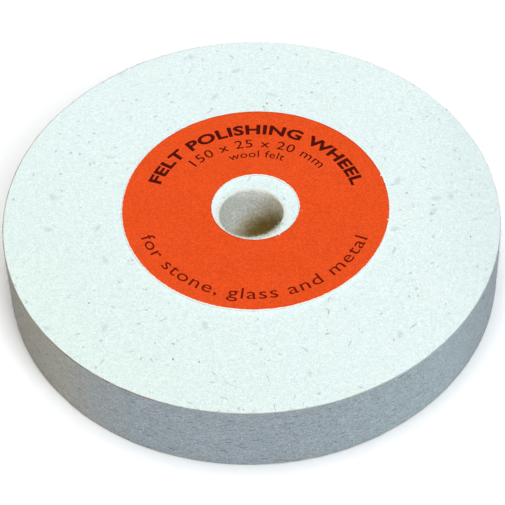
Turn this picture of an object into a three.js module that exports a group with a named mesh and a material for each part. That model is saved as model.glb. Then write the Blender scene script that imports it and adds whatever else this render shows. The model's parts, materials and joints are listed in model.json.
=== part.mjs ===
// Felt polishing wheel: one pressed wool felt disc with a plain spindle bore, and a
// die-cut paper ring glued to its front face. Millimetres, +Z up along the wheel's axis.
// The origin is the centre of the bore at the rear face, and the label faces +Z.
import * as THREE from 'three';

// Felt disc
const WHEEL_DIAMETER = 150;
const WHEEL_THICKNESS = 25;
const BORE_DIAMETER = 19.5;        // for a 20 mm spindle: punched a little under, so that the felt grips it
const RIM_ARRIS_RADIUS = 0.5;      // the turned rim meets both faces in a small round
const BORE_LIP_RADIUS = 0.5;       // the punched bore has a slightly soft mouth at each face

// Label ring, and the glue film that holds it
const LABEL_DIAMETER = 80.8;
const LABEL_HOLE_DIAMETER = 26.2;
const LABEL_THICKNESS = 0.15;
const GLUE_THICKNESS = 0.08;
const GLUE_EDGE_MARGIN = 0.3;      // the film stops a little short of the paper's cut edges
const LABEL_OFFSET_X = 1.3;        // stuck on by hand, so it sits a little off the axis
const LABEL_OFFSET_Y = 2.6;

// How finely the round shapes are divided
const TURN_SEGMENTS = 96;
const ARRIS_STEPS = 3;
const LIP_STEPS = 3;

const FELT = { color: 0xe6f5f3, roughness: 0.95, metalness: 0 };
const GLUE = { color: 0xe8e2cf, roughness: 0.6, metalness: 0 };
const PAPER = { color: 0xec5320, roughness: 0.6, metalness: 0 };

// Points of a quarter-circle corner in the (radius, height) plane.
function roundCorner(centreRadius, centreHeight, radius, startAngle, steps) {
  const points = [];
  for (let step = 0; step <= steps; step++) {
    const angle = startAngle + (step / steps) * (Math.PI / 2);
    points.push(new THREE.Vector2(
      centreRadius + radius * Math.cos(angle),
      centreHeight + radius * Math.sin(angle),
    ));
  }
  return points;
}

// Turns a closed outline about the wheel's axis. The lathe revolves about Y, so the
// result is laid over to stand along +Z.
function turned(outline) {
  const geometry = new THREE.LatheGeometry([...outline, outline[0].clone()], TURN_SEGMENTS);
  geometry.rotateX(Math.PI / 2);
  return geometry;
}

// The disc's section: up the rim, in across the front face, down the bore and back out.
function feltGeometry() {
  const rimCentre = WHEEL_DIAMETER / 2 - RIM_ARRIS_RADIUS;
  const lipCentre = BORE_DIAMETER / 2 + BORE_LIP_RADIUS;
  return turned([
    ...roundCorner(rimCentre, RIM_ARRIS_RADIUS, RIM_ARRIS_RADIUS, -Math.PI / 2, ARRIS_STEPS),
    ...roundCorner(rimCentre, WHEEL_THICKNESS - RIM_ARRIS_RADIUS, RIM_ARRIS_RADIUS, 0, ARRIS_STEPS),
    ...roundCorner(lipCentre, WHEEL_THICKNESS - BORE_LIP_RADIUS, BORE_LIP_RADIUS, Math.PI / 2, LIP_STEPS),
    ...roundCorner(lipCentre, BORE_LIP_RADIUS, BORE_LIP_RADIUS, Math.PI, LIP_STEPS),
  ]);
}

// A flat ring of even thickness, standing on height 0.
function flatRing(innerRadius, outerRadius, thickness) {
  return turned([
    new THREE.Vector2(innerRadius, 0),
    new THREE.Vector2(outerRadius, 0),
    new THREE.Vector2(outerRadius, thickness),
    new THREE.Vector2(innerRadius, thickness),
  ]);
}

function namedMesh(name, geometry, finish) {
  const mesh = new THREE.Mesh(geometry, new THREE.MeshStandardMaterial(finish));
  mesh.name = name;
  return mesh;
}

const feltWheel = namedMesh('felt_wheel', feltGeometry(), FELT);

const labelAdhesive = namedMesh('label_adhesive', flatRing(
  LABEL_HOLE_DIAMETER / 2 + GLUE_EDGE_MARGIN,
  LABEL_DIAMETER / 2 - GLUE_EDGE_MARGIN,
  GLUE_THICKNESS,
), GLUE);

const paperLabel = namedMesh('paper_label', flatRing(
  LABEL_HOLE_DIAMETER / 2,
  LABEL_DIAMETER / 2,
  LABEL_THICKNESS,
), PAPER);
paperLabel.position.z = GLUE_THICKNESS;

// The label and its glue are placed together on the front face.
const labelOnFace = new THREE.Group();
labelOnFace.position.set(LABEL_OFFSET_X, LABEL_OFFSET_Y, WHEEL_THICKNESS);
labelOnFace.add(labelAdhesive, paperLabel);

const polishingWheel = new THREE.Group();
polishingWheel.name = 'felt_polishing_wheel';
polishingWheel.add(feltWheel, labelOnFace);

export default polishingWheel;
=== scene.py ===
"""A hard felt polishing wheel: the pressed wool disc with its loose wool and coloured hairs,
and the printed paper ring glued round its bore. Metres, +Z along the wheel's axis."""
import json
import math

import bpy
from mathutils import Matrix, Vector

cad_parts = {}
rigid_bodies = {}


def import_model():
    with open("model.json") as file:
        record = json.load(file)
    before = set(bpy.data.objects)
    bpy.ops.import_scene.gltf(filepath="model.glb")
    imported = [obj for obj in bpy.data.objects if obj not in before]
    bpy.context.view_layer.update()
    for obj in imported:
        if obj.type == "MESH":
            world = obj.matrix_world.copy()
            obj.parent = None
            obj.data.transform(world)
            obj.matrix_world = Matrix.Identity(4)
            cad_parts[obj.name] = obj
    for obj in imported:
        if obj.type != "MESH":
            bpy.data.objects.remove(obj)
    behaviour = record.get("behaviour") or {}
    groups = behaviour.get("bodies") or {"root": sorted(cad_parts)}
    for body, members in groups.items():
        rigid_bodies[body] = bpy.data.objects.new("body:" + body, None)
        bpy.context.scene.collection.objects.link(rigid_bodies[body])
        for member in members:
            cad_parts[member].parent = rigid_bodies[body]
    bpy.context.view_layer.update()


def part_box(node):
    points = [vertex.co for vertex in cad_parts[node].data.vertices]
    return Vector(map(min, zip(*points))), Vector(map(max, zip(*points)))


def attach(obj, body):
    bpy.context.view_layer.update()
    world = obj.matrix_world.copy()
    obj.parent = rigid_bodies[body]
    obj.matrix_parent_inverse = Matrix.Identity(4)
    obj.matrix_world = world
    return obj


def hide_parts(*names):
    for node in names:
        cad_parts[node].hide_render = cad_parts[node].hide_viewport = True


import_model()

MM = 0.001
FULL_TURN = 2 * math.pi

# ---------------------------------------------------------------- sizes
WHEEL_LOW, WHEEL_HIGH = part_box("felt_wheel")
LABEL_LOW, LABEL_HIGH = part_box("paper_label")
GLUE_LOW, GLUE_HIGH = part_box("label_adhesive")

WHEEL_RADIUS = WHEEL_HIGH.x
WHEEL_THICKNESS = WHEEL_HIGH.z
BORE_RADIUS = 9.30 * MM                # spun tight: the reliefs open it to the punched size
RIM_ARRIS = 0.5 * MM
BORE_LIP = 0.7 * MM

LABEL_DROP = Vector((0, -0.28 * MM, 0))    # the ring is stuck on a hair lower than in the CAD
LABEL_CENTRE = (LABEL_LOW + LABEL_HIGH) / 2 + LABEL_DROP
LABEL_RADIUS = (LABEL_HIGH.x - LABEL_LOW.x) / 2
LABEL_HOLE_RADIUS = 13.1 * MM
LABEL_BOTTOM, LABEL_TOP = LABEL_LOW.z, LABEL_HIGH.z
LABEL_TILT = math.radians(-2.9)        # the printed ring was stuck on slightly turned
CAP_SHARE = 0.682                      # height of a capital letter as a share of the type size
INK = 0.015 * MM                       # half the printed layer's thickness

SECTORS_DOUBLED = 4                    # a sixteenth of each ring is spun, then doubled 4 times
STEPS_IN_SECTOR = 30
FACE_ROWS, REAR_ROWS, RIM_ROWS, BORE_ROWS = 84, 40, 34, 24    # cuts across the felt's section
LABEL_ROWS, GLUE_ROWS = 40, 4
COUNT_FROM = (0.31, 0.17, 0.23)

# How far the bore's front mouth is moved: worn down on the far right, squeezed in at the near
# side.
MOUTH_WORN_BY = (0.10 * MM, 0.70 * MM, -0.40 * MM)
MOUTH_TIGHT_BY = (-0.20 * MM, 0.60 * MM, -0.02 * MM)
MOUTH_REACH = 1 * MM                   # how far off its edge the mouth's change fades out


# ---------------------------------------------------------------- working habits
def clear_selection():
    """Nothing is selected and nothing is being edited before a new piece is started."""
    if bpy.context.object and bpy.context.object.mode != "OBJECT":
        bpy.ops.object.mode_set(mode="OBJECT")
    bpy.ops.object.select_all(action="DESELECT")


def only(piece):
    """Makes one piece the selected and active one."""
    clear_selection()
    piece.select_set(True)
    bpy.context.view_layer.objects.active = piece
    return piece


def settle(piece):
    """Puts a piece's place into its mesh, so that its object is at the origin, unturned."""
    only(piece)
    bpy.ops.object.transform_apply(location=True, rotation=True, scale=True)
    return piece


def close_mesh(piece, gap=0.5e-6):
    """Merges doubled points and turns every face outwards."""
    only(piece)
    bpy.ops.object.mode_set(mode="EDIT")
    bpy.ops.mesh.select_all(action="SELECT")
    bpy.ops.mesh.remove_doubles(threshold=gap)
    bpy.ops.mesh.normals_make_consistent(inside=False)
    bpy.ops.object.mode_set(mode="OBJECT")
    return piece


def join_pieces(pieces):
    """Makes the pieces one mesh, under the first one's name."""
    only(pieces[0])
    for piece in pieces:
        piece.select_set(True)
    bpy.ops.object.join()
    return bpy.context.object


def select_edges(piece, wanted):
    """In edit mode, selects the edges whose middle passes the test."""
    bpy.ops.object.mode_set(mode="OBJECT")
    points = piece.data.vertices
    for edge in piece.data.edges:
        ends = [points[i].co for i in edge.vertices]
        edge.select = wanted((ends[0] + ends[1]) / 2)
    for point in points:
        point.select = False
    bpy.ops.object.mode_set(mode="EDIT")


def select_points(piece, wanted):
    """In edit mode, selects the points that pass the test."""
    bpy.ops.object.mode_set(mode="OBJECT")
    for edge in piece.data.edges:
        edge.select = False
    for face in piece.data.polygons:
        face.select = False
    for point in piece.data.vertices:
        point.select = wanted(point.co)
    bpy.ops.object.mode_set(mode="EDIT")


def mark(piece, group, wanted):
    """A vertex group on the points that the rule gives a weight above 0."""
    made = piece.vertex_groups.new(name=group)
    for point in piece.data.vertices:
        weight = wanted(point.co)
        if weight > 0:
            made.add([point.index], min(weight, 1.0), "REPLACE")


def note_share(piece, name, rule):
    """An attribute from 0 to 1 on the points, which the finishes read."""
    share = piece.data.attributes.new(name, "FLOAT", "POINT")
    share.data.foreach_set("value", [rule(point.co) for point in piece.data.vertices])


def ramp(value, low, high):
    """0 at low, 1 at high, and straight between."""
    return min(max((value - low) / (high - low), 0.0), 1.0)


def from_axis(p):
    """Distance from the wheel's own axis."""
    return math.hypot(p.x, p.y)


def from_label_centre(p):
    """Distance from the axis of the ring, which is off the wheel's."""
    return math.hypot(p.x - LABEL_CENTRE.x, p.y - LABEL_CENTRE.y)


def relief(piece, name, grain, depth, level=1.0, direction="NORMAL", group="", stretch=None):
    """Presses a cloudy relief into a piece. Grain is the size of its lumps. At level 1 it only
    goes inwards. Stretch squeezes the lumps along the axes, for fibres that lie flat."""
    lumps = bpy.data.textures.new(name, type="CLOUDS")
    lumps.noise_scale = grain
    lumps.noise_depth = 2
    modifier = piece.modifiers.new(name, "DISPLACE")
    modifier.texture = lumps
    modifier.strength = depth
    modifier.mid_level = level
    modifier.direction = direction
    modifier.vertex_group = group
    guide = None
    if stretch:
        guide = bpy.data.objects.new(name + "_guide", None)
        bpy.context.scene.collection.objects.link(guide)
        guide.scale = stretch
        modifier.texture_coords = "OBJECT"
        modifier.texture_coords_object = guide
        bpy.context.view_layer.update()
    else:
        modifier.texture_coords = "GLOBAL"
    only(piece)
    bpy.ops.object.modifier_apply(modifier=modifier.name)
    if guide:
        bpy.data.objects.remove(guide)
    bpy.data.textures.remove(lumps)


def push(piece, group, by):
    """Moves the marked part by a vector, as far as its weights allow."""
    for axis, distance in zip("XYZ", by):
        modifier = piece.modifiers.new(group, "DISPLACE")
        modifier.strength = distance
        modifier.mid_level = 0
        modifier.direction = axis
        modifier.vertex_group = group
        only(piece)
        bpy.ops.object.modifier_apply(modifier=modifier.name)


# ---------------------------------------------------------------- turned pieces
def section(name, inner, outer, low, high, centre=Vector((0, 0, 0))):
    """A flat rectangle standing on the wheel's XZ plane, ready to be shaped and spun."""
    clear_selection()
    bpy.ops.mesh.primitive_plane_add(size=1, rotation=(math.pi / 2, 0, 0))
    piece = bpy.context.object
    piece.name = name
    piece.scale = (outer - inner, high - low, 1)
    piece.location = (centre.x + (inner + outer) / 2, centre.y, (low + high) / 2)
    return settle(piece)


def divide_edge(piece, wanted, cuts):
    """In edit mode, cuts the edges whose middle passes the test into shorter ones."""
    select_edges(piece, wanted)
    bpy.ops.mesh.subdivide(number_cuts=cuts)


def order_faces(piece):
    """Puts a turned piece's faces in one fixed order, so that the wool strewn on them falls in
    the same places each run. They are counted from a point off every line of symmetry."""
    only(piece)
    bpy.context.scene.cursor.location = COUNT_FROM
    bpy.ops.object.mode_set(mode="EDIT")
    bpy.ops.mesh.select_all(action="SELECT")
    bpy.ops.mesh.sort_elements(type="CURSOR_DISTANCE", elements={"FACE"})
    bpy.ops.object.mode_set(mode="OBJECT")
    bpy.context.scene.cursor.location = (0, 0, 0)


def spin_section(piece, centre=Vector((0, 0, 0))):
    """Drops the section's face, spins its outline through a sector, doubles that all the way
    round and closes the seams."""
    axis_foot = (centre.x, centre.y, 0)
    turn = FULL_TURN / 2 ** SECTORS_DOUBLED
    bpy.ops.mesh.select_all(action="SELECT")
    bpy.ops.mesh.delete(type="ONLY_FACE")
    bpy.ops.mesh.select_all(action="SELECT")
    bpy.ops.mesh.spin(steps=STEPS_IN_SECTOR, angle=turn, center=axis_foot, axis=(0, 0, 1),
                      use_auto_merge=False)
    for _ in range(SECTORS_DOUBLED):
        bpy.ops.mesh.select_all(action="SELECT")
        bpy.ops.mesh.duplicate()
        bpy.ops.transform.rotate(value=turn, orient_axis="Z", center_override=axis_foot)
        turn *= 2
    bpy.ops.object.mode_set(mode="OBJECT")
    close_mesh(piece)
    order_faces(piece)
    bpy.ops.object.shade_smooth()


def worn_by_spindle(p):
    """1 at the mouth's edge on the far right. It fades out on the face and, more slowly, down
    the wall."""
    side = ramp(0.6 * p.x + 0.8 * p.y, -0.3 * BORE_RADIUS, 0.8 * BORE_RADIUS)
    away = math.hypot((from_axis(p) - BORE_RADIUS) / 2.2, (WHEEL_HIGH.z - p.z) / 4.0)
    return side * ramp(away, MOUTH_REACH, 0.0) ** 1.5


def tight_at_front(p):
    """1 at the mouth's near edge. It fades out in the same two directions."""
    side = ramp(-p.y, 0.0, 0.8 * BORE_RADIUS)
    away = math.hypot((from_axis(p) - BORE_RADIUS) / 2.0, (WHEEL_HIGH.z - p.z) / 4.0)
    return side * ramp(away, MOUTH_REACH, 0.0)


def clear_of_label(p):
    """0 where the glued label holds the felt flat, 1 a little way off it."""
    if p.z < WHEEL_HIGH.z - 0.6 * MM:
        return 1.0
    off_centre = from_label_centre(p)
    away = max(off_centre - LABEL_RADIUS, LABEL_HOLE_RADIUS - off_centre)
    return ramp(away, -0.1 * MM, 1.4 * MM)


def on_rim(p):
    """On the turned edge or its arris."""
    return from_axis(p) > WHEEL_RADIUS - 1.2 * MM


def make_felt_body():
    """The disc: a rounded section spun round the bore, then pressed, turned and worn."""
    low, high = WHEEL_LOW.z, WHEEL_HIGH.z
    piece = section("felt_body", BORE_RADIUS, WHEEL_RADIUS, low, high)
    bpy.ops.object.mode_set(mode="EDIT")
    select_points(piece, lambda p: p.x > WHEEL_RADIUS - 1 * MM)
    bpy.ops.mesh.bevel(offset=RIM_ARRIS, segments=3, affect="VERTICES", profile=0.5)
    select_points(piece, lambda p: p.x < BORE_RADIUS + 0.1 * MM)
    bpy.ops.mesh.bevel(offset=BORE_LIP, segments=6, affect="VERTICES", profile=0.5)
    middle = (BORE_RADIUS + WHEEL_RADIUS) / 2
    divide_edge(piece, lambda p: abs(p.x - middle) < 2 * MM and p.z > high / 2, FACE_ROWS)
    divide_edge(piece, lambda p: abs(p.x - middle) < 2 * MM and p.z < high / 2, REAR_ROWS)
    divide_edge(piece, lambda p: p.x > WHEEL_RADIUS - 0.01 * MM, RIM_ROWS)
    divide_edge(piece, lambda p: p.x < BORE_RADIUS + 0.01 * MM, BORE_ROWS)
    spin_section(piece)

    rim_from, bore_from = WHEEL_RADIUS - 2 * RIM_ARRIS, BORE_RADIUS + 0.9 * BORE_LIP
    bore_full = BORE_RADIUS + 0.05 * BORE_LIP
    note_share(piece, "rim_share", lambda p: ramp(from_axis(p), rim_from, WHEEL_RADIUS))
    note_share(piece, "bore_share", lambda p: ramp(from_axis(p), bore_from, bore_full))
    mark(piece, "worn_mouth", worn_by_spindle)
    push(piece, "worn_mouth", MOUTH_WORN_BY)
    mark(piece, "tight_mouth", tight_at_front)
    push(piece, "tight_mouth", MOUTH_TIGHT_BY)
    mark(piece, "free", clear_of_label)
    relief(piece, "out_of_round", 22 * MM, 0.28 * MM, group="free")
    relief(piece, "pressed_lumps", 5 * MM, 0.13 * MM, group="free")
    relief(piece, "laid_wool", 1.9 * MM, 0.15 * MM, group="free", stretch=(1, 1, 0.35))

    # Where each kind of loose wool grows.
    mark(piece, "front_nap", lambda p: p.z > high - 1 * MM and not on_rim(p)
         and from_label_centre(p) > LABEL_RADIUS + 0.2 * MM)
    mark(piece, "inner_nap", lambda p: p.z > high - 0.6 * MM
         and from_label_centre(p) < LABEL_HOLE_RADIUS - 0.2 * MM)
    mark(piece, "rim_nap", lambda p: on_rim(p) and p.z > 1.2 * MM)
    mark(piece, "near_mouth", lambda p: p.z > high - 1.2 * MM and p.y < -4 * MM
         and from_axis(p) < BORE_RADIUS + 0.6 * MM)
    mark(piece, "far_mouth", lambda p: p.z > high - 2.5 * MM and p.y > -4 * MM
         and from_axis(p) < BORE_RADIUS + 0.5 * MM)
    return piece


# ---------------------------------------------------------------- loose wool
def fibre(name, spine, thickness):
    """One strand along a few points, square in section, as a mesh."""
    clear_selection()
    bpy.ops.curve.primitive_bezier_curve_add()
    strand = bpy.context.object
    strand.name = name
    line = strand.data
    line.splines.clear()
    run = line.splines.new("NURBS")
    run.points.add(len(spine) - 1)
    for point, place in zip(run.points, spine):
        point.co = (*[value * MM for value in place], 1)
    run.use_endpoint_u = True
    run.order_u = 3
    run.resolution_u = 2
    line.dimensions = "3D"
    line.bevel_depth = thickness / 2 * MM
    line.bevel_resolution = 0
    line.use_fill_caps = True
    bpy.ops.object.convert(target="MESH")
    return close_mesh(bpy.context.object)


def knot(name, size):
    """A small flat clump of wool: a coarse ball squashed and pressed out of round."""
    clear_selection()
    bpy.ops.mesh.primitive_ico_sphere_add(subdivisions=2, radius=0.5)
    clump = bpy.context.object
    clump.name = name
    clump.scale = [length * MM for length in size]
    settle(clump)
    relief(clump, name + "_relief", 0.4 * MM, 0.12 * MM, level=0.5)
    return clump


def scatter(name, ground, group, strands, per_square_metre, seed, size=(0.7, 1.3), lean=0.35):
    """Strews strands over the marked part of a piece and makes them one mesh. Each is turned
    at random about the surface's normal and leans a little."""
    rack = bpy.data.collections.new(name + "_strands")
    bpy.context.scene.collection.children.link(rack)
    for strand in strands:
        rack.objects.link(strand)
    only(ground)
    bpy.ops.object.duplicate()
    piece = bpy.context.object
    piece.name = name

    tree = bpy.data.node_groups.new(name, "GeometryNodeTree")
    tree.interface.new_socket("Ground", in_out="INPUT", socket_type="NodeSocketGeometry")
    tree.interface.new_socket("Wool", in_out="OUTPUT", socket_type="NodeSocketGeometry")
    add, join = tree.nodes.new, tree.links.new
    given, made = add("NodeGroupInput"), add("NodeGroupOutput")

    marked = add("GeometryNodeInputNamedAttribute")
    marked.data_type = "FLOAT"
    marked.inputs["Name"].default_value = group
    density = add("ShaderNodeMath")
    density.operation = "MULTIPLY"
    density.inputs[1].default_value = per_square_metre
    join(marked.outputs["Attribute"], density.inputs[0])
    spots = add("GeometryNodeDistributePointsOnFaces")
    spots.inputs["Seed"].default_value = seed
    join(given.outputs[0], spots.inputs["Mesh"])
    join(density.outputs[0], spots.inputs["Density"])

    angles = add("FunctionNodeRandomValue")
    angles.data_type = "FLOAT_VECTOR"
    angles.inputs["Seed"].default_value = seed + 1
    angles.inputs["Min"].default_value = (-lean, -lean, 0)
    angles.inputs["Max"].default_value = (lean, lean, FULL_TURN)
    turn = add("FunctionNodeEulerToRotation")
    join(angles.outputs["Value"], turn.inputs[0])
    turned = add("FunctionNodeRotateRotation")
    turned.rotation_space = "LOCAL"
    join(spots.outputs["Rotation"], turned.inputs["Rotation"])
    join(turn.outputs[0], turned.inputs["Rotate By"])

    length = add("FunctionNodeRandomValue")
    length.inputs["Seed"].default_value = seed + 2
    ends = [s for s in length.inputs if s.type == "VALUE" and s.enabled]
    ends[0].default_value, ends[1].default_value = size
    kind = add("FunctionNodeRandomValue")
    kind.data_type = "INT"
    kind.inputs["Seed"].default_value = seed + 3
    ends = [s for s in kind.inputs if s.type == "INT" and s.name in ("Min", "Max")]
    ends[0].default_value, ends[1].default_value = 0, len(strands) - 1

    source = add("GeometryNodeCollectionInfo")
    source.inputs["Collection"].default_value = rack
    source.inputs["Separate Children"].default_value = True
    source.inputs["Reset Children"].default_value = True
    placed = add("GeometryNodeInstanceOnPoints")
    placed.inputs["Pick Instance"].default_value = True
    join(spots.outputs["Points"], placed.inputs["Points"])
    join(source.outputs[0], placed.inputs["Instance"])
    join([o for o in kind.outputs if o.type == "INT"][0], placed.inputs["Instance Index"])
    join(turned.outputs[0], placed.inputs["Rotation"])
    join([o for o in length.outputs if o.type == "VALUE" and o.enabled][0], placed.inputs["Scale"])
    real = add("GeometryNodeRealizeInstances")
    join(placed.outputs[0], real.inputs[0])
    join(real.outputs[0], made.inputs[0])

    modifier = piece.modifiers.new("strewn", "NODES")
    modifier.node_group = tree
    only(piece)
    bpy.ops.object.modifier_apply(modifier=modifier.name)
    piece.vertex_groups.clear()
    bpy.ops.object.shade_smooth()
    bpy.data.node_groups.remove(tree)
    for strand in list(rack.objects):
        rack.objects.unlink(strand)
    bpy.data.collections.remove(rack)
    return piece


def lay_on_bench(piece):
    """Presses whatever hangs under the wheel's rear face nearly flat on the bench."""
    only(piece)
    bpy.ops.object.mode_set(mode="EDIT")
    select_points(piece, lambda p: p.z < 0.1 * MM)
    bpy.ops.transform.resize(value=(1, 1, 0.1), center_override=(0, 0, 0.1 * MM))
    bpy.ops.object.mode_set(mode="OBJECT")
    return piece


def discard(pieces):
    """Removes the patterns that the copies were made from."""
    for piece in pieces:
        bpy.data.objects.remove(piece)


# ---------------------------------------------------------------- label
def make_ring(name, inner, outer, low, high, rows):
    """A flat ring round the label's own centre."""
    piece = section(name, inner, outer, low, high, LABEL_CENTRE)
    bpy.ops.object.mode_set(mode="EDIT")
    middle, half_up = LABEL_CENTRE.x + (inner + outer) / 2, (low + high) / 2
    # With the face gone, the cuts don't join across the section.
    bpy.ops.mesh.select_all(action="SELECT")
    bpy.ops.mesh.delete(type="ONLY_FACE")
    divide_edge(piece, lambda p: abs(p.x - middle) < 1 * MM and p.z > half_up, rows)
    divide_edge(piece, lambda p: abs(p.x - middle) < 1 * MM and p.z < half_up, rows)
    spin_section(piece, LABEL_CENTRE)
    return piece


FRAY_GRAIN, FRAY_DEPTH = 2.6 * MM, 0.16 * MM


def fray(piece, inner, outer, reach):
    """Makes a ring's two edges wander in and out a little."""
    def near_edge(p):
        off_centre = from_label_centre(p)
        return 1 - min(outer - off_centre, off_centre - inner) / reach

    mark(piece, "edges", near_edge)
    relief(piece, "fray_x", FRAY_GRAIN, FRAY_DEPTH, level=0.5, direction="X", group="edges")
    relief(piece, "fray_y", FRAY_GRAIN * 1.2, FRAY_DEPTH, level=0.5, direction="Y", group="edges")
    piece.vertex_groups.clear()


def paper_waves(piece):
    """The paper follows the felt under it, by a few hundredths of a millimetre."""
    relief(piece, "paper_waves", 9 * MM, 0.06 * MM, level=0.5, direction="Z")


def make_label():
    """The paper ring."""
    piece = make_ring("label_ring", LABEL_HOLE_RADIUS, LABEL_RADIUS, LABEL_BOTTOM, LABEL_TOP,
                      LABEL_ROWS)
    fray(piece, LABEL_HOLE_RADIUS, LABEL_RADIUS, 2 * MM)
    paper_waves(piece)
    return piece


def make_glue():
    """A film that reaches down into the felt and shows here and there past the paper's edges."""
    inner, outer = LABEL_HOLE_RADIUS + 0.05 * MM, LABEL_RADIUS + 0.07 * MM
    piece = make_ring("glue_film", inner, outer, GLUE_LOW.z - 0.06 * MM, GLUE_HIGH.z,
                      GLUE_ROWS)
    fray(piece, inner, outer, 3 * MM)
    paper_waves(piece)
    return piece


OUTER_TABS = (16, 186, 226, 262, 270, 288, 299, 350)    # degrees round the label, from +X
INNER_TABS = (40, 90, 301, 359)


def make_nicks():
    """The small white tabs that held the ring in its die-cut sheet, torn off at both edges."""
    clear_selection()
    bpy.ops.mesh.primitive_cube_add(size=1)
    tab = bpy.context.object
    tab.name = "die_cut_nicks"
    tab.scale = (0.62 * MM, 0.50 * MM, 0.10 * MM)
    settle(tab)
    bpy.ops.object.mode_set(mode="EDIT")
    bpy.ops.mesh.select_all(action="SELECT")
    bpy.ops.mesh.bevel(offset=0.03 * MM, segments=1, affect="EDGES")
    select_points(tab, lambda p: p.x > 0.2 * MM)
    bpy.ops.transform.resize(value=(1, 0.35, 0.8))
    bpy.ops.object.mode_set(mode="OBJECT")
    tabs = []
    outer, inner = LABEL_RADIUS - 0.12 * MM, LABEL_HOLE_RADIUS + 0.14 * MM
    places = [(angle, outer) for angle in OUTER_TABS] + [(angle, inner) for angle in INNER_TABS]
    for angle, radius in places:
        only(tab)
        bpy.ops.object.duplicate()
        copy = bpy.context.object
        around = math.radians(angle)
        copy.location = (LABEL_CENTRE.x + radius * math.cos(around),
                         LABEL_CENTRE.y + radius * math.sin(around), LABEL_TOP - 0.03 * MM)
        copy.rotation_euler = (0, 0, around if radius == outer else around + math.pi)
        settle(copy)
        tabs.append(copy)
    discard([tab])
    piece = close_mesh(join_pieces(tabs))
    piece.name = "die_cut_nicks"
    return piece


def make_line(name, words, radius, capital, spread, bold, gaps, on_top=True):
    """One line of print bent round the ring, as a thin layer of ink. Its letters are stretched
    sideways until the line spreads over its angle."""
    clear_selection()
    bpy.ops.object.text_add()
    line = bpy.context.object
    line.name = name
    line.data.body = words
    line.data.align_x = "CENTER"
    line.data.size = capital / CAP_SHARE
    line.data.offset = bold * line.data.size
    line.data.space_character = gaps
    line.data.extrude = INK
    line.data.resolution_u = 3
    bpy.ops.object.convert(target="MESH")
    line = bpy.context.object
    line.scale.x = radius * spread / line.dimensions.x
    settle(line)
    close_mesh(line)
    bend = line.modifiers.new("bend", "SIMPLE_DEFORM")
    bend.deform_method = "BEND"
    bend.deform_axis = "Z"
    bend.angle = -spread if on_top else spread
    bpy.ops.object.modifier_apply(modifier=bend.name)
    line.location.y = radius if on_top else -radius
    settle(line)
    line.rotation_euler.z = LABEL_TILT
    line.location = (LABEL_CENTRE.x, LABEL_CENTRE.y, LABEL_TOP + 0.6 * INK)
    return settle(line)


def make_lettering():
    """The four arcs: name, words, radius, height of a capital, angle, boldness and spacing."""
    turn = math.radians
    piece = join_pieces([
        make_line("lettering", "FELT POLISHING WHEEL", 30.6 * MM, 3.7 * MM, turn(145.4), 0.036,
                  1.07),
        make_line("size_line", "150 x 25 x 20 mm", 24.9 * MM, 3.3 * MM, turn(98), 0.0, 1.1),
        make_line("wool_line", "wool felt", 20.7 * MM, 2.8 * MM, turn(45.5), 0.0, 1.05),
        make_line("use_line", "for stone, glass and metal", 36.0 * MM, 4.0 * MM, turn(140), 0.0,
                  1.08, on_top=False),
    ])
    paper_waves(piece)
    return piece


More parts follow.
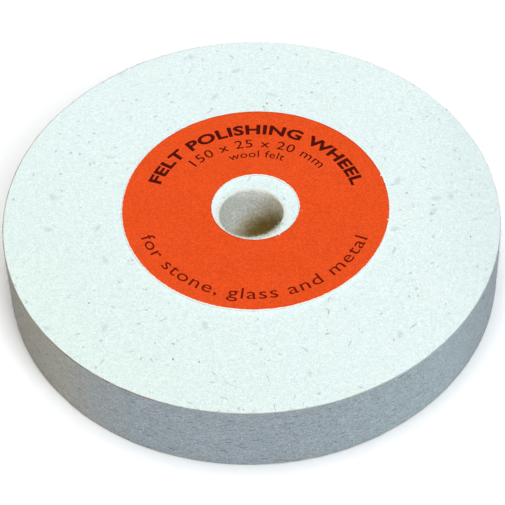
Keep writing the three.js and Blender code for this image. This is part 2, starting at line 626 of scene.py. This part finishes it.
# ---------------------------------------------------------------- finishes
class Finish:
    """A material and short ways to add its nodes. Lengths are in millimetres."""

    def __init__(self, name):
        self.material = bpy.data.materials.new(name)
        self.material.use_nodes = True
        self.tree = self.material.node_tree
        self.shader = next(n for n in self.tree.nodes if n.type == "BSDF_PRINCIPLED")
        place = self.tree.nodes.new("ShaderNodeTexCoord")
        self.place = self.scaled(place.outputs["Object"], (1000, 1000, 1000))

    def join(self, source, target):
        self.tree.links.new(source, target)

    def feed(self, socket, value):
        if isinstance(value, bpy.types.NodeSocket):
            self.join(value, socket)
        else:
            socket.default_value = value

    def scaled(self, vector, scale, offset=(0, 0, 0)):
        node = self.tree.nodes.new("ShaderNodeMapping")
        self.join(vector, node.inputs["Vector"])
        node.inputs["Scale"].default_value = scale
        node.inputs["Location"].default_value = offset
        return node.outputs[0]

    def noise(self, size, detail=2.0, rough=0.5, warp=0.0, where=None, kind="FBM"):
        """Cloudy noise with lumps of the given size, from about 0 to 1."""
        node = self.tree.nodes.new("ShaderNodeTexNoise")
        node.noise_type = kind
        self.join(where or self.place, node.inputs["Vector"])
        node.inputs["Scale"].default_value = 1 / size
        node.inputs["Detail"].default_value = detail
        node.inputs["Roughness"].default_value = rough
        node.inputs["Distortion"].default_value = warp
        return node.outputs[0]

    def noise_vector(self, size, where=None):
        node = self.tree.nodes.new("ShaderNodeTexNoise")
        self.join(where or self.place, node.inputs["Vector"])
        node.inputs["Scale"].default_value = 1 / size
        return node.outputs[1]

    def share(self, name):
        """An attribute noted on the mesh's points."""
        node = self.tree.nodes.new("ShaderNodeAttribute")
        node.attribute_name = name
        return node.outputs["Fac"]

    def sum(self, kind, a, b=0.0):
        node = self.tree.nodes.new("ShaderNodeMath")
        node.operation = kind
        self.feed(node.inputs[0], a)
        self.feed(node.inputs[1], b)
        return node.outputs[0]

    def vector(self, kind, a, b=(0, 0, 0), scale=None):
        node = self.tree.nodes.new("ShaderNodeVectorMath")
        node.operation = kind
        self.feed(node.inputs[0], a)
        self.feed(node.inputs[1], b)
        if scale is not None:
            self.feed(node.inputs["Scale"], scale)
        return node.outputs["Value" if kind in ("LENGTH", "DISTANCE") else 0]

    def between(self, value, low, high, to_low=0.0, to_high=1.0):
        """Smoothly from to_low at low to to_high at high."""
        node = self.tree.nodes.new("ShaderNodeMapRange")
        node.interpolation_type = "SMOOTHSTEP"
        self.feed(node.inputs["Value"], value)
        for name, number in (("From Min", low), ("From Max", high),
                             ("To Min", to_low), ("To Max", to_high)):
            node.inputs[name].default_value = number
        return node.outputs[0]

    def spread(self, noise, to_low=0.0, to_high=1.0):
        """Stretches noise, which mostly lies between 0.3 and 0.7, over a range."""
        return self.between(noise, 0.3, 0.7, to_low, to_high)

    def blend(self, share, a, b):
        """From colour a at 0 to colour b at 1."""
        node = self.tree.nodes.new("ShaderNodeMix")
        node.data_type = "RGBA"
        self.feed(node.inputs["Factor"], share)
        for socket, value in ((node.inputs[6], a), (node.inputs[7], b)):
            self.feed(socket, (*value, 1) if isinstance(value, tuple) else value)
        return node.outputs[2]

    def parts(self, vector):
        node = self.tree.nodes.new("ShaderNodeSeparateXYZ")
        self.join(vector, node.inputs[0])
        return node.outputs

    def colours(self, colour):
        node = self.tree.nodes.new("ShaderNodeSeparateColor")
        self.join(colour, node.inputs[0])
        return node.outputs

    def bump(self, height, depth, strength=1.0, under=None):
        node = self.tree.nodes.new("ShaderNodeBump")
        node.inputs["Strength"].default_value = strength
        node.inputs["Distance"].default_value = depth
        self.join(height, node.inputs["Height"])
        if under is not None:
            self.join(under, node.inputs["Normal"])
        return node.outputs[0]

    def set(self, name, value):
        self.feed(self.shader.inputs[name], value)

    def flecks(self, cell, half, chosen, offset):
        """Scattered flecks, one in some of the cells of a cellular pattern. Half is the fleck's
        half length, half width and half height, and chosen the share of cells. The core is the
        share of a fleck that is at full strength, and the wander how far its outline strays."""
        core, wander = 0.3, 0.8
        moved = self.vector("ADD", self.place, offset)
        shift = self.vector("SUBTRACT", self.noise_vector(1.2, moved), (0.5, 0.5, 0.5))
        moved = self.vector("ADD", moved, self.vector("SCALE", shift, scale=wander))
        cells = self.tree.nodes.new("ShaderNodeTexVoronoi")
        self.join(moved, cells.inputs["Vector"])
        cells.inputs["Scale"].default_value = 1 / cell
        chance = self.colours(cells.outputs["Color"])
        local = self.vector("SUBTRACT", moved, cells.outputs["Position"])
        turn = self.tree.nodes.new("ShaderNodeVectorRotate")
        turn.rotation_type = "Z_AXIS"
        self.join(local, turn.inputs["Vector"])
        self.join(self.sum("MULTIPLY", chance[0], FULL_TURN), turn.inputs["Angle"])
        shaped = self.vector("MULTIPLY", turn.outputs[0], tuple(1 / h for h in half))
        inside = self.between(self.vector("LENGTH", shaped), 1.0, core)
        wanted = self.sum("LESS_THAN", chance[1], chosen)
        return self.sum("MULTIPLY", inside, wanted), chance[2]

    def dyed(self, colour, dyes, sets):
        """Lays sets of flecks over a colour: cell, half sizes, share chosen, strength, offset."""
        for cell, half, chosen, strength, offset in sets:
            fleck, hue = self.flecks(cell, half, chosen, offset)
            dye = self.blend(self.between(hue, 0.4, 0.7), *dyes)
            colour = self.blend(self.sum("MULTIPLY", fleck, strength), colour, dye)
        return colour


FACE_DYES = ((0.17, 0.21, 0.34), (0.23, 0.24, 0.27))
RIM_DYES = ((0.10, 0.12, 0.17), (0.13, 0.10, 0.08))
FACE_FLECKS = (
    (3.2, (1.10, 0.45, 0.50), 0.42, 0.42, (0, 0, 0)),
    (4.4, (0.70, 0.55, 0.60), 0.42, 0.50, (31, 17, 5)),
    (6.0, (2.00, 0.36, 0.60), 0.34, 0.45, (11, 53, 9)),
    (6.5, (2.30, 1.30, 1.20), 0.34, 0.23, (71, 23, 19)),
)
RIM_FLECKS = (
    (2.6, (1.50, 0.90, 0.30), 0.27, 0.55, (5, 41, 3)),
    (4.0, (2.80, 1.30, 0.38), 0.33, 0.65, (61, 7, 29)),
)


# Colours of the felt, as linear red, green and blue.
COLD_WHITE, WARM_WHITE = (0.787, 0.912, 0.904), (0.802, 0.909, 0.885)
WARM_SPECK, COLD_SPECK = (0.818, 0.912, 0.862), (0.764, 0.880, 0.910)
HELD_CREAM, DULL_EDGE = (0.766, 0.885, 0.832), (0.740, 0.850, 0.845)
# The rim's colours are painted shade on the white wool: shaded grey and blue, painted light at the
# right, painted warm shade at the left, less painted shade on the far side.
RIM_SHADE_GREY, RIM_SHADE_BLUE = (0.350, 0.397, 0.422), (0.319, 0.384, 0.440)
RIM_PAINTED_LIGHT, RIM_WARM_SHADE = (0.376, 0.456, 0.490), (0.402, 0.386, 0.320)
RIM_FAR_LESS_SHADE = (0.560, 0.600, 0.600)
ARRIS_PALE, ARRIS_DARK = (0.42, 0.40, 0.33), (0.21, 0.14, 0.07)
# The bore's colours from its mouth down: pale, then painted half shade, then painted dark brown
# shade.
BORE_PALE, BORE_HALF_SHADE, BORE_DEEP_SHADE = (0.92, 0.95, 0.90), (0.70, 0.64, 0.46), (0.29, 0.19, 0.025)
MOUTH_PAINTED_SHADE = (0.60, 0.58, 0.47)


def face_colour(felt, x, y, laid, grain, strands):
    """Cold white with warmer and cooler specks and coloured flecks. It is creamier at the lower
    left, where the wheel is held, and duller at the far right edge."""
    tint = felt.blend(felt.between(felt.noise(7, 2), 0.38, 0.62), COLD_WHITE, WARM_WHITE)
    speck = felt.colours(felt.noise_vector(0.62))
    tint = felt.blend(felt.between(speck[0], 0.50, 0.72), tint, WARM_SPECK)
    tint = felt.blend(felt.between(speck[1], 0.50, 0.72), tint, COLD_SPECK)
    held = felt.sum("ADD", felt.sum("MULTIPLY", x, -0.8), felt.sum("MULTIPLY", y, -0.6))
    tint = felt.blend(felt.between(held, 5.0, 75.0, 0.0, 0.75), tint, HELD_CREAM)
    far_right = felt.sum("MULTIPLY", felt.between(x, 48.0, 72.0), felt.between(y, -60.0, -20.0))
    tint = felt.blend(far_right, tint, DULL_EDGE)
    mottle = felt.spread(felt.noise(1.4, 4, 0.6, where=laid), 0.955, 1.02)
    shade = felt.sum("MULTIPLY", mottle, grain)
    shade = felt.sum("MULTIPLY", shade, felt.between(strands, 0.3, 1.1, 0.975, 1.02))
    return felt.dyed(felt.vector("SCALE", tint, scale=shade), FACE_DYES, FACE_FLECKS)


def rim_colour(felt, x, y):
    """Wool seen edge on, in long and short level streaks, coloured with painted shade: a shaded
    grey-blue all round, painted warm shade at the left, painted light at the right, painted shade
    darkening both ends and less painted shade on the far side."""
    long_streaks = felt.noise(3.0, 3, 0.6, where=felt.scaled(felt.place, (1, 1, 8)))
    short_streaks = felt.noise(1.1, 3, 0.65, where=felt.scaled(felt.place, (1, 1, 4.5), (3, 9, 27)))
    shade = felt.sum("MULTIPLY", felt.spread(long_streaks, 0.86, 1.11),
                     felt.spread(short_streaks, 0.86, 1.11))
    fuzz = felt.spread(felt.noise(0.42, 3, 0.7), 0.64, 1.30)
    shade = felt.sum("MULTIPLY", shade, fuzz)
    # Painted shade: the rim darkens towards its far left and far right ends.
    side_shade = felt.between(felt.sum("ABSOLUTE", x), 52.0, 75.0, 1.0, 0.76)
    shade = felt.sum("MULTIPLY", shade, side_shade)
    # Painted shade: the rim's base colour is a shaded grey-blue, varied in patches.
    patches = felt.noise(2.4, 3, 0.6, where=felt.scaled(felt.place, (1, 1, 3), (8, 2, 6)))
    tint = felt.blend(felt.between(patches, 0.38, 0.62), RIM_SHADE_GREY, RIM_SHADE_BLUE)
    # Painted light: the rim turns lighter and cooler towards the right, where the key light falls.
    tint = felt.blend(felt.between(x, 5.0, 60.0), tint, RIM_PAINTED_LIGHT)
    # Painted warm shade: the front left of the rim is browner and darker.
    warm_shade_left = felt.sum("MULTIPLY", felt.between(x, -34.0, -66.0), felt.between(y, 25.0, -10.0))
    tint = felt.blend(warm_shade_left, tint, RIM_WARM_SHADE)
    # The far side of the rim carries less painted shade than the front.
    tint = felt.blend(felt.between(y, -5.0, 45.0), tint, RIM_FAR_LESS_SHADE)
    return felt.dyed(felt.vector("SCALE", tint, scale=shade), RIM_DYES, RIM_FLECKS)


def bore_colour(felt, x, z, grain):
    """Painted shade that grows darker and browner down the wall and towards the right."""
    # Painted shade: darker further down the wall and towards the right wall.
    shade_depth = felt.sum("ADD", felt.between(z, 25.5, 4.0, -0.10, 0.86), felt.sum("MULTIPLY", x, 0.060))
    shade_depth = felt.sum("ADD", shade_depth, felt.spread(felt.noise(2.4, 3, 0.6), -0.06, 0.06))
    bore_shade_tint = felt.blend(felt.between(shade_depth, 0.08, 0.68), BORE_PALE, BORE_HALF_SHADE)
    bore_shade_tint = felt.blend(felt.between(shade_depth, 0.43, 0.92), bore_shade_tint, BORE_DEEP_SHADE)
    coarse = felt.spread(felt.noise(0.75, 3, 0.75), 0.76, 1.18)
    return felt.vector("SCALE", bore_shade_tint, scale=felt.sum("MULTIPLY", coarse, grain))


def felt_finish():
    """Pressed white wool with a cold tint. The wool lies flat in the sheet, so the turned rim
    shows it edge on. The rim and the bore carry painted shade. A thin dark line follows the arris
    between the face and the rim."""
    felt = Finish("pressed_wool_felt")
    x, y, z = felt.parts(felt.place)
    laid = felt.scaled(felt.place, (1, 1, 2.6))
    grain = felt.spread(felt.noise(0.46, 3, 0.7, 0.5), 0.85, 1.09)
    strands = felt.noise(0.9, 4, 0.6, 1.4, where=laid, kind="RIDGED_MULTIFRACTAL")
    face = face_colour(felt, x, y, laid, grain, strands)
    rim = rim_colour(felt, x, y)
    rim_share = felt.share("rim_share")
    colour = felt.blend(felt.between(rim_share, 0.70, 0.95), face, rim)

    # A thin dark line along the arris, stronger, darker and browner towards the left.
    arris = felt.sum("MULTIPLY", felt.between(rim_share, 0.35, 0.80),
                     felt.between(rim_share, 1.0, 0.95))
    arris_strength = felt.sum("ADD", felt.between(felt.noise(5.0, 3), 0.35, 0.65, 0.3, 0.7),
                     felt.between(x, 20.0, -50.0, 0.0, 0.5))
    arris_tint = felt.blend(felt.between(x, 10.0, -45.0), ARRIS_PALE, ARRIS_DARK)
    colour = felt.blend(felt.sum("MULTIPLY", arris, arris_strength), colour, arris_tint)

    # The bore's wall with its painted shade, and painted shade on the face round its mouth.
    colour = felt.blend(felt.share("bore_share"), colour, bore_colour(felt, x, z, grain))
    reach = felt.vector("DISTANCE", felt.scaled(felt.place, (1, 1, 0)), (0, 0, 0))
    # Painted shade: a grey-beige tint on the lip where the face turns down into the bore.
    mouth_shade = felt.sum("MULTIPLY", felt.between(reach, 11.6, 9.6),
                      felt.spread(felt.noise(1.0, 3), 0.3, 0.8))
    mouth_shade = felt.sum("MULTIPLY", mouth_shade, felt.between(z, 23.0, 25.0))
    colour = felt.blend(mouth_shade, colour, MOUTH_PAINTED_SHADE)

    felt.set("Base Color", colour)
    felt.set("Roughness", felt.between(strands, 0.2, 1.2, 0.98, 0.88))
    felt.set("Specular IOR Level", 0.15)
    felt.set("Sheen Weight", 0.15)
    felt.set("Sheen Roughness", 0.6)
    fine = felt.bump(felt.noise(0.30, 3, 0.6, 0.8), 0.10 * MM, 0.8)
    felt.set("Normal", felt.bump(strands, 0.09 * MM, 0.7, fine))
    return felt.material


def wool_finish(name, first, second, rough, patch=3.0):
    """Loose fibres that vary between two colours from place to place."""
    wool = Finish(name)
    colour = wool.blend(wool.between(wool.noise(patch, 1), 0.4, 0.6), first, second)
    shade = wool.spread(wool.noise(0.6, 2), 0.88, 1.06)
    wool.set("Base Color", wool.vector("SCALE", colour, scale=shade))
    wool.set("Roughness", wool.spread(wool.noise(1.0, 1), *rough))
    wool.set("Specular IOR Level", 0.2)
    return wool.material


PRINT_OFF_CENTRE = (0.12, 0.20)        # millimetres from the paper's own centre
PRINT_OUTER, PRINT_INNER = (40.28, 40.16), (13.22, 13.34)    # radii where the ink thins out


def print_finish():
    """Uncoated paper printed with a flat orange, which stops short of the cut edges. The print is
    a little off the paper's own centre, so one side shows a wider white edge."""
    paper = Finish("orange_printed_paper")
    right, up = PRINT_OFF_CENTRE
    middle = (LABEL_CENTRE.x / MM + right, LABEL_CENTRE.y / MM + up, 0)
    flat = paper.scaled(paper.place, (1, 1, 0))
    radius = paper.vector("DISTANCE", flat, middle)
    ragged = paper.sum("ADD", radius, paper.between(paper.noise(1.1, 3), 0.2, 0.8, -0.10, 0.10))
    inked = paper.sum("MULTIPLY", paper.between(ragged, *PRINT_OUTER),
                      paper.between(ragged, *PRINT_INNER))
    _, _, z = paper.parts(paper.place)
    top = LABEL_TOP / MM
    inked = paper.sum("MULTIPLY", inked, paper.between(z, top - 0.10, top - 0.06))

    ink = paper.blend(paper.between(paper.noise(6, 3), 0.35, 0.65),
                      (0.762, 0.0735, 0.0104), (0.776, 0.0770, 0.0120))
    mottle = paper.spread(paper.noise(0.5, 3, 0.7), 0.81, 1.15)
    ink = paper.vector("SCALE", ink, scale=mottle)
    pinholes = paper.between(paper.noise(0.34, 1), 0.70, 0.80, 0.0, 0.30)
    ink = paper.blend(pinholes, ink, (0.95, 0.42, 0.20))
    white = paper.blend(paper.spread(paper.noise(0.6, 3)),
                        (0.84, 0.88, 0.86), (0.90, 0.91, 0.88))
    paper.set("Base Color", paper.blend(inked, white, ink))
    paper.set("Roughness", paper.spread(paper.noise(0.8, 3), 0.80, 0.90))
    paper.set("Specular IOR Level", 0.08)
    paper.set("Normal", paper.bump(paper.noise(0.35, 3, 0.6), 0.02 * MM, 0.6))
    return paper.material


def torn_paper_finish():
    """The bare white fibres of the torn tabs."""
    paper = Finish("torn_white_paper")
    white = paper.blend(paper.spread(paper.noise(0.3, 3)),
                        (0.80, 0.82, 0.80), (0.92, 0.92, 0.89))
    paper.set("Base Color", white)
    paper.set("Roughness", paper.spread(paper.noise(0.2, 2), 0.85, 0.95))
    paper.set("Specular IOR Level", 0.1)
    return paper.material


def ink_finish():
    """Dark maroon ink with worn spots, a little redder on the lower arc."""
    ink = Finish("maroon_printing_ink")
    worn = ink.between(ink.noise(0.35, 3, 0.6), 0.3, 0.75, 0.0, 0.5)
    _, y, _ = ink.parts(ink.place)
    upper = ink.blend(worn, (0.060, 0.0045, 0.0025), (0.13, 0.010, 0.004))
    lower = ink.blend(worn, (0.125, 0.0060, 0.0020), (0.24, 0.016, 0.004))
    ink.set("Base Color", ink.blend(ink.between(y, 2.0, -2.0), upper, lower))
    ink.set("Roughness", ink.spread(ink.noise(0.8, 2), 0.75, 0.88))
    ink.set("Specular IOR Level", 0.03)
    return ink.material


def glue_finish():
    """Pale dried glue, with a slight shine."""
    glue = Finish("dried_glue")
    colour = glue.blend(glue.spread(glue.noise(2.5, 3)),
                        (0.72, 0.73, 0.67), (0.82, 0.82, 0.75))
    glue.set("Base Color", colour)
    glue.set("Roughness", glue.spread(glue.noise(1.0, 2), 0.45, 0.65))
    glue.set("Normal", glue.bump(glue.noise(0.5, 2), 0.03 * MM, 0.5))
    return glue.material


def floor_finish():
    """Pale matte paint, almost even."""
    floor = Finish("pale_floor")
    colour = floor.blend(floor.spread(floor.noise(60, 3)),
                         (0.935, 0.935, 0.935), (0.945, 0.945, 0.945))
    floor.set("Base Color", colour)
    floor.set("Roughness", 0.9)
    floor.set("Specular IOR Level", 0.1)
    return floor.material


# ---------------------------------------------------------------- building
def finish_piece(piece, material, slot, *nodes):
    """Gives a piece its finish and its body, and hides the CAD nodes that it replaces. The slot is
    not used.
    """
    piece.data.materials.clear()
    piece.data.materials.append(material)
    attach(piece, "root")
    if nodes:
        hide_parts(*nodes)


# The strands: the points along each one and its thickness, in millimetres.
SHORT_WOOL = (
    ("wool_a", [(-0.8, 0, -0.03), (-0.3, 0.2, 0.08), (0.3, -0.1, 0.10), (0.9, 0.1, 0.02)], 0.045),
    ("wool_b", [(-0.6, 0, -0.03), (-0.1, 0.4, 0.06), (0.5, 0.4, 0.12), (0.7, -0.1, 0.05)], 0.04),
    ("wool_c", [(-1.2, 0.1, -0.03), (-0.4, -0.2, 0.05), (0.5, 0.3, 0.07), (1.3, -0.1, 0.12)],
     0.045),
    ("wool_d", [(0, 0, -0.05), (0.2, 0.1, 0.15), (0.5, 0, 0.32), (0.9, 0.2, 0.38)], 0.035),
)
STANDING_WOOL = (
    ("tuft_a", [(0, 0, -0.1), (0.05, 0.1, 0.2), (0.1, 0.05, 0.45), (0.3, 0.1, 0.7)], 0.05),
    ("tuft_b", [(0, 0, -0.1), (0.1, 0, 0.15), (0.3, 0.1, 0.3), (0.45, 0.3, 0.35)], 0.05),
    ("tuft_c", [(0, 0, -0.1), (-0.1, 0.1, 0.25), (-0.1, 0.3, 0.5), (0.1, 0.4, 0.6)], 0.045),
)
STRAY_HAIRS = (
    ("hair_a", [(-0.6, 0, -0.03), (-0.2, 0.2, 0.05), (0.3, -0.1, 0.05), (0.7, 0.1, -0.02)], 0.15),
    ("hair_b", [(-0.4, 0, -0.03), (-0.1, 0.25, 0.05), (0.3, 0.2, 0.04), (0.5, -0.1, -0.02)], 0.17),
    ("hair_c", [(-1.3, 0.1, -0.03), (-0.5, -0.3, 0.04), (0.5, 0.3, 0.04), (1.4, 0.1, -0.02)], 0.09),
)
KNOTS = (("knot_a", (0.75, 0.40, 0.22)), ("knot_b", (0.50, 0.42, 0.22)))

felt_body = make_felt_body()
short_wool = [fibre(*strand) for strand in SHORT_WOOL]
standing_wool = [fibre(*strand) for strand in STANDING_WOOL]
stray_hairs = [fibre(*strand) for strand in STRAY_HAIRS] + [knot(*clump) for clump in KNOTS]
# After the strands come how many there are to a square metre and the seed.
front_wool = scatter("front_wool", felt_body, "front_nap", short_wool, 0.30e6, 11)
inner_wool = scatter("inner_wool", felt_body, "inner_nap", short_wool, 0.5e6, 21)
rim_wool = lay_on_bench(scatter("rim_wool", felt_body, "rim_nap", short_wool, 0.30e6, 31))
near_mouth_wool = scatter("near_mouth_wool", felt_body, "near_mouth", standing_wool, 18e6, 41,
                          (0.6, 1.3), 0.9)
far_mouth_wool = scatter("far_mouth_wool", felt_body, "far_mouth", short_wool, 2.5e6, 43,
                         (0.5, 1.0), 0.7)
front_hairs = scatter("front_hairs", felt_body, "front_nap", stray_hairs, 0.0050e6, 51,
                      (0.6, 1.2), 0.04)
rim_hairs = lay_on_bench(scatter("rim_hairs", felt_body, "rim_nap", stray_hairs, 0.0060e6, 61,
                                 (0.6, 1.2), 0.04))
discard(short_wool + standing_wool + stray_hairs)

label_ring = make_label()
glue_film = make_glue()
nicks = make_nicks()
lettering = make_lettering()

white_wool = wool_finish("loose_white_wool", (0.80, 0.91, 0.89), (0.86, 0.93, 0.90), (0.8, 0.95))
# The loose wool on the rim is white wool coloured with the rim's painted shade.
rim_wool_shade_finish = wool_finish("loose_rim_wool_painted_shade", (0.40, 0.45, 0.48), (0.47, 0.50, 0.53), (0.8, 0.95))
dyed_wool = wool_finish("stray_dyed_wool", (0.19, 0.22, 0.32), (0.32, 0.27, 0.24), (0.7, 0.9))
finish_piece(felt_body, felt_finish(), "felt", "felt_wheel")
# Loose wool standing at the bore's near mouth, in patches of pale and dark brown.
pale_and_brown_wool = wool_finish("pale_and_brown_wool", (0.78, 0.84, 0.78), (0.26, 0.19, 0.09), (0.8, 0.95), 0.45)
finish_piece(near_mouth_wool, pale_and_brown_wool, "felt")
for piece in (front_wool, inner_wool, far_mouth_wool):
    finish_piece(piece, white_wool, "felt")
finish_piece(rim_wool, rim_wool_shade_finish, "felt")
for piece in (front_hairs, rim_hairs):
    finish_piece(piece, dyed_wool, "felt")
finish_piece(label_ring, print_finish(), "label_paper", "paper_label")
finish_piece(nicks, torn_paper_finish(), "label_paper")
finish_piece(glue_film, glue_finish(), "adhesive", "label_adhesive")
finish_piece(lettering, ink_finish(), "label_ink")

# ---------------------------------------------------------------- studio
FLOOR_SIZE = 6
COVE_RADIUS = 2.0
COVE_SINK = 0.001                      # the cove's inner edge hides just under the floor
COVE_STEPS = ((1.15, 0.02), (1.10, 0.05), (1.07, 0.09), (1.03, 0.12), (1.0, 0.14))
AMBIENT = 0.10

clear_selection()
bpy.ops.mesh.primitive_plane_add(size=FLOOR_SIZE)
floor = bpy.context.object
floor.name = "floor"
floor.data.materials.append(floor_finish())

# The floor sweeps up into a low wall all round, so that a low view ends in the same pale paint.
clear_selection()
bpy.ops.mesh.primitive_circle_add(vertices=96, radius=COVE_RADIUS, location=(0, 0, -COVE_SINK))
backdrop = bpy.context.object
backdrop.name = "backdrop"
bpy.ops.object.mode_set(mode="EDIT")
bpy.ops.mesh.select_all(action="SELECT")
for out, up in COVE_STEPS:
    bpy.ops.mesh.extrude_region_move()
    bpy.ops.transform.resize(value=(out, out, 1), center_override=(0, 0, 0))
    bpy.ops.transform.translate(value=(0, 0, up))
bpy.ops.object.mode_set(mode="OBJECT")
bpy.ops.object.shade_smooth()
settle(backdrop)
backdrop.data.materials.append(floor.data.materials[0])

scene = bpy.context.scene
scene.view_settings.view_transform = "Standard"
world = bpy.data.worlds.new("studio")
world.use_nodes = True
sky = world.node_tree.nodes["Background"]
sky.inputs["Color"].default_value = (1.0, 1.0, 1.0, 1)
sky.inputs["Strength"].default_value = AMBIENT
scene.world = world


def soft_light(name, strength, width, bearing, height, colour=(1, 1, 1)):
    """A wide distant light. Bearing is where it stands, turned from +X, and height its angle
    above the bench, all in degrees."""
    clear_selection()
    bpy.ops.object.light_add(type="SUN")
    light = bpy.context.object
    light.name = name
    light.rotation_euler = (0, math.radians(90 - height), math.radians(bearing))
    light.data.energy = strength
    light.data.angle = math.radians(width)
    light.data.color = colour


soft_light("overhead_softbox", 2.22, 36, 0, 90)
soft_light("cool_key", 1.25, 26, -57, 48, (0.87, 0.95, 1.0))
soft_light("warm_fill", 0.25, 34, 218, 26, (1.0, 0.74, 0.48))

# The camera stands in front of the wheel and looks down on its labelled face.
VIEW_HEIGHT = math.radians(47.966)
VIEW_DISTANCE = 0.6572                 # from the middle of the wheel's front face
AIM_BELOW = math.radians(1.026)
CAMERA_ROLL = math.radians(-2.111)
SENSOR_WIDTH, LENS = 36, 155.88        # millimetres
clear_selection()
bpy.ops.object.camera_add()
camera = bpy.context.object
camera.name = "camera"
camera.location = (
    0,
    -VIEW_DISTANCE * math.cos(VIEW_HEIGHT),
    WHEEL_THICKNESS + VIEW_DISTANCE * math.sin(VIEW_HEIGHT),
)
look_down = Matrix.Rotation(math.pi / 2 - VIEW_HEIGHT - AIM_BELOW, 4, "X")
camera.rotation_euler = (look_down @ Matrix.Rotation(CAMERA_ROLL, 4, "Z")).to_euler()
camera.data.sensor_width = SENSOR_WIDTH
camera.data.lens = LENS
scene.camera = camera
